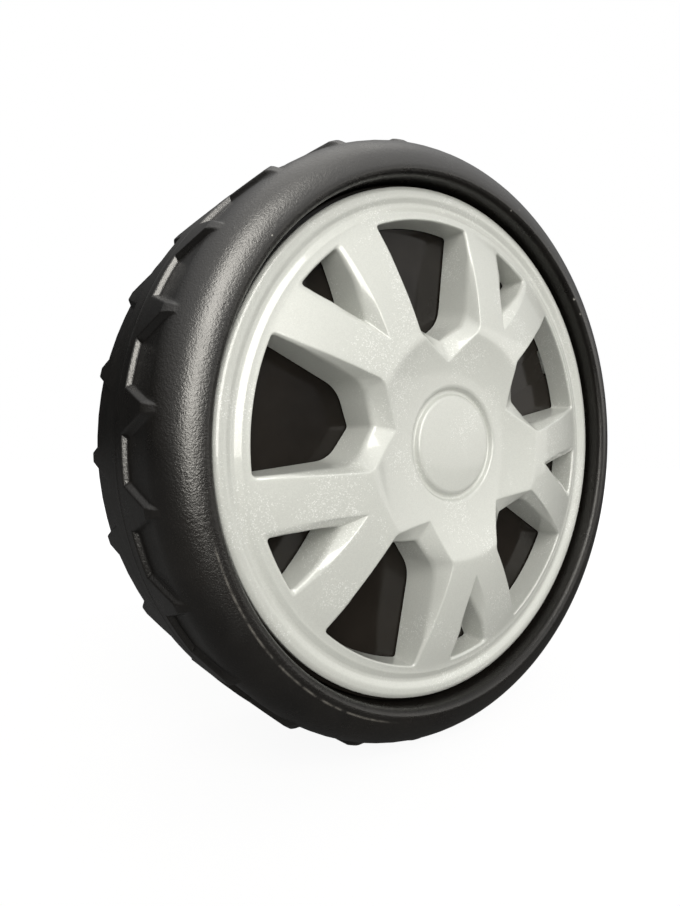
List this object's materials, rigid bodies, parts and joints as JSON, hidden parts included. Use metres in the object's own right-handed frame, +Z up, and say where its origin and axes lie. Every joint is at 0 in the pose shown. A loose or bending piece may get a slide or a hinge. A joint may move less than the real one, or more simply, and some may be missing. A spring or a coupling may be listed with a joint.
{
  "type": "lawn mower wheel",
  "caption": "Lawn mower wheel: knobbly black tyre on a black moulded rim, silver hub cap with Y-shaped spokes, ball bearings in the hub.",
  "frame": {"origin": "on the spin axis, at the middle of the tyre's width", "axes": "+Y along the spin axis towards the machine, hub cap facing -Y; +Z up"},
  "size_m": [0.18, 0.0629, 0.18],
  "materials": {
    "tyre_rubber": "matt, fine moulded grain",
    "rim_plastic": "gloss black",
    "cap_paint": "satin silver paint",
    "bearing_steel": "ground",
    "shield_steel": "pressed",
    "ball_steel": "polished",
    "cage_nylon": "moulded",
    "sleeve_zinc": "zinc plated"
  },
  "bodies": {
    "axle_side": {"front_bearing_inner_ring": "bearing_steel", "rear_bearing_inner_ring": "bearing_steel", "spacer_sleeve": "sleeve_zinc"},
    "wheel": {"tyre": "tyre_rubber", "rim": "rim_plastic", "hub_cap": "cap_paint", "front_bearing_outer_ring": "bearing_steel", "front_bearing_front_shield": "shield_steel", "front_bearing_rear_shield": "shield_steel", "rear_bearing_outer_ring": "bearing_steel", "rear_bearing_front_shield": "shield_steel", "rear_bearing_rear_shield": "shield_steel"},
    "front_ball_set": {"front_bearing_cage": "cage_nylon", "front_bearing_ball_1": "ball_steel", "front_bearing_ball_2": "ball_steel", "front_bearing_ball_3": "ball_steel", "front_bearing_ball_4": "ball_steel", "front_bearing_ball_5": "ball_steel", "front_bearing_ball_6": "ball_steel", "front_bearing_ball_7": "ball_steel", "front_bearing_ball_8": "ball_steel", "front_bearing_ball_9": "ball_steel"},
    "rear_ball_set": {"rear_bearing_cage": "cage_nylon", "rear_bearing_ball_1": "ball_steel", "rear_bearing_ball_2": "ball_steel", "rear_bearing_ball_3": "ball_steel", "rear_bearing_ball_4": "ball_steel", "rear_bearing_ball_5": "ball_steel", "rear_bearing_ball_6": "ball_steel", "rear_bearing_ball_7": "ball_steel", "rear_bearing_ball_8": "ball_steel", "rear_bearing_ball_9": "ball_steel"}
  },
  "joints": [
    {"name": "wheel_spin", "type": "hinge", "parent": "axle_side", "child": "wheel", "pos_m": [0, 0, 0], "axis": [0, 1, 0], "continuous": true},
    {"name": "front_ball_orbit", "type": "hinge", "parent": "axle_side", "child": "front_ball_set", "pos_m": [0, -0.013, 0], "axis": [0, 1, 0], "continuous": true},
    {"name": "rear_ball_orbit", "type": "hinge", "parent": "axle_side", "child": "rear_ball_set", "pos_m": [0, 0.019, 0], "axis": [0, 1, 0], "continuous": true}
  ],
  "couplings": [
    {"joint": "front_ball_orbit", "follows": "wheel_spin", "ratio": 0.61905},
    {"joint": "rear_ball_orbit", "follows": "wheel_spin", "ratio": 0.61905}
  ]
}
